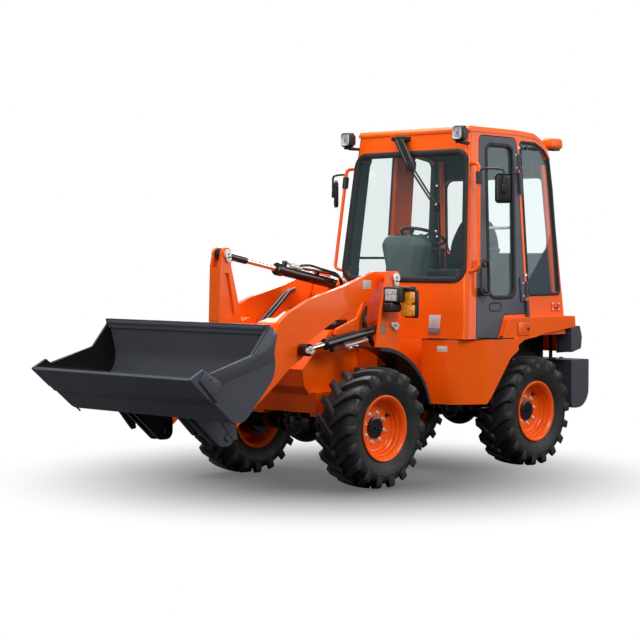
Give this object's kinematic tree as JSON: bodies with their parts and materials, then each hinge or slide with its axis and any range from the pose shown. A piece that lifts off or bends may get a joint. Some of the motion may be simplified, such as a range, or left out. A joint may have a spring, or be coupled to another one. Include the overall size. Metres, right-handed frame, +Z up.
{
  "type": "wheel loader",
  "caption": "Compact articulated wheel loader with a glazed cab, a Z-linkage boom and a ground bucket.",
  "frame": {"origin": "middle of the overall length and width, on the ground", "axes": "+X the machine's left, +Y its rear, +Z up; the bucket faces -Y"},
  "size_m": [1.7886, 4.506, 2.5918],
  "materials": {
    "black_paint": "satin paint",
    "black_plastic": "matte",
    "charcoal_paint": "satin paint",
    "chrome_rod": "polished",
    "grey_plastic": "matte",
    "orange_paint": "gloss paint",
    "seat_fabric": "woven",
    "tinted_glass": "tinted, clear",
    "tyre": "worn matte"
  },
  "bodies": {
    "rear_body": {"rear_chassis": "black_paint", "engine_block": "black_paint", "axle_rear": "black_paint", "counterweight": "charcoal_paint", "side_panel_left": "orange_paint", "side_panel_right": "orange_paint", "rear_fender_left": "orange_paint", "rear_fender_right": "orange_paint", "rear_lamp_left": "charcoal_paint", "rear_lamp_right": "charcoal_paint", "cab_frame": "orange_paint", "cab_floor": "black_paint", "cab_roof": "orange_paint", "windshield": "tinted_glass", "rear_window": "tinted_glass", "left_side_window": "tinted_glass", "right_front_window": "tinted_glass", "right_rear_window": "tinted_glass", "dash_console": "grey_plastic", "steering_wheel": "black_plastic", "seat": "seat_fabric", "mirror_left": "orange_paint", "mirror_right": "orange_paint", "roof_light_left": "black_plastic", "roof_light_right": "black_plastic"},
    "front_body": {"front_frame": "orange_paint", "axle_front": "black_paint", "front_fender_left": "black_plastic", "front_fender_right": "black_plastic", "headlight_left": "black_plastic", "headlight_right": "black_plastic"},
    "boom_body": {"boom": "orange_paint", "boom_hose_outer": "black_plastic", "boom_hose_inner": "black_plastic"},
    "bellcrank_body": {"bellcrank": "orange_paint"},
    "link_body": {"tilt_link": "black_paint"},
    "bucket_body": {"bucket": "charcoal_paint"},
    "door_body": {"door_left": "charcoal_paint", "door_glass": "tinted_glass"},
    "hood_body": {"engine_hood": "orange_paint"},
    "tilt_barrel_body": {"tilt_barrel": "black_paint"},
    "tilt_rod_body": {"tilt_rod": "chrome_rod"},
    "lift_barrel_body_left": {"lift_barrel_left": "black_paint"},
    "lift_rod_body_left": {"lift_rod_left": "chrome_rod"},
    "lift_barrel_body_right": {"lift_barrel_right": "black_paint"},
    "lift_rod_body_right": {"lift_rod_right": "chrome_rod"},
    "wheel_front_left": {"tyre_front_left": "tyre", "rim_front_left": "orange_paint"},
    "wheel_front_right": {"tyre_front_right": "tyre", "rim_front_right": "orange_paint"},
    "wheel_rear_left": {"tyre_rear_left": "tyre", "rim_rear_left": "orange_paint"},
    "wheel_rear_right": {"tyre_rear_right": "tyre", "rim_rear_right": "orange_paint"}
  },
  "joints": [
    {"name": "steering", "type": "hinge", "parent": "rear_body", "child": "front_body", "pos_m": [0, 0.494, 0.62], "axis": [0, 0, 1], "range_deg": [-38, 38]},
    {"name": "boom_lift", "type": "hinge", "parent": "front_body", "child": "boom_body", "pos_m": [0, 0.094, 1.458], "axis": [1, 0, 0], "range_deg": [-78, 9]},
    {"name": "bucket_tilt", "type": "hinge", "parent": "boom_body", "child": "bucket_body", "pos_m": [0, -1.516, 0.423], "axis": [1, 0, 0], "range_deg": [0, 150]},
    {"name": "bellcrank_turn", "type": "hinge", "parent": "boom_body", "child": "bellcrank_body", "pos_m": [0, -1.054, 1.046], "axis": [1, 0, 0], "range_deg": [-30, 0]},
    {"name": "link_turn", "type": "hinge", "parent": "bellcrank_body", "child": "link_body", "pos_m": [0, -0.981, 0.776], "axis": [1, 0, 0], "range_deg": [0, 21.2]},
    {"name": "tilt_barrel_turn", "type": "hinge", "parent": "front_body", "child": "tilt_barrel_body", "pos_m": [0, -0.064, 1.404], "axis": [1, 0, 0], "range_deg": [-86.6, 10]},
    {"name": "tilt_rod_slide", "type": "slide", "parent": "tilt_barrel_body", "child": "tilt_rod_body", "axis": [0, -0.9822, 0.1877], "range_m": [-0.3, 0]},
    {"name": "lift_barrel_turn_left", "type": "hinge", "parent": "front_body", "child": "lift_barrel_body_left", "pos_m": [0.364, 0.089, 1.11], "axis": [1, 0, 0], "range_deg": [-70.2, 8.1]},
    {"name": "lift_rod_slide_left", "type": "slide", "parent": "lift_barrel_body_left", "child": "lift_rod_body_left", "axis": [0, -0.9874, -0.158], "range_m": [-0.047, 0.4]},
    {"name": "lift_barrel_turn_right", "type": "hinge", "parent": "front_body", "child": "lift_barrel_body_right", "pos_m": [-0.364, 0.089, 1.11], "axis": [1, 0, 0], "range_deg": [-70.2, 8.1]},
    {"name": "lift_rod_slide_right", "type": "slide", "parent": "lift_barrel_body_right", "child": "lift_rod_body_right", "axis": [0, -0.9874, -0.158], "range_m": [-0.047, 0.4]},
    {"name": "wheel_front_left", "type": "hinge", "parent": "front_body", "child": "wheel_front_left", "pos_m": [0.62, -0.395, 0.425], "axis": [1, 0, 0], "continuous": true},
    {"name": "wheel_front_right", "type": "hinge", "parent": "front_body", "child": "wheel_front_right", "pos_m": [-0.62, -0.395, 0.425], "axis": [1, 0, 0], "continuous": true},
    {"name": "wheel_rear_left", "type": "hinge", "parent": "rear_body", "child": "wheel_rear_left", "pos_m": [0.62, 1.383, 0.425], "axis": [1, 0, 0], "continuous": true},
    {"name": "wheel_rear_right", "type": "hinge", "parent": "rear_body", "child": "wheel_rear_right", "pos_m": [-0.62, 1.383, 0.425], "axis": [1, 0, 0], "continuous": true},
    {"name": "door", "type": "hinge", "parent": "rear_body", "child": "door_body", "pos_m": [0.65504, 1.378, 1.358], "axis": [-0.0751, 0, 0.9972], "range_deg": [0, 85]},
    {"name": "hood", "type": "hinge", "parent": "rear_body", "child": "hood_body", "pos_m": [0, 1.95, 1.088], "axis": [1, 0, 0], "range_deg": [0, 60]}
  ],
  "couplings": [
    {"joint": "bellcrank_turn", "follows": "bucket_tilt", "ratio": -0.2},
    {"joint": "link_turn", "follows": "bucket_tilt", "ratio": 0.141},
    {"joint": "tilt_rod_slide", "follows": "bucket_tilt", "m_per_rad": -0.11459},
    {"joint": "tilt_barrel_turn", "follows": "boom_lift", "ratio": 1.11},
    {"joint": "lift_barrel_turn_left", "follows": "boom_lift", "ratio": 0.9},
    {"joint": "lift_barrel_turn_right", "follows": "boom_lift", "ratio": 0.9},
    {"joint": "lift_rod_slide_left", "follows": "boom_lift", "m_per_rad": -0.29221},
    {"joint": "lift_rod_slide_right", "follows": "boom_lift", "m_per_rad": -0.29221}
  ]
}
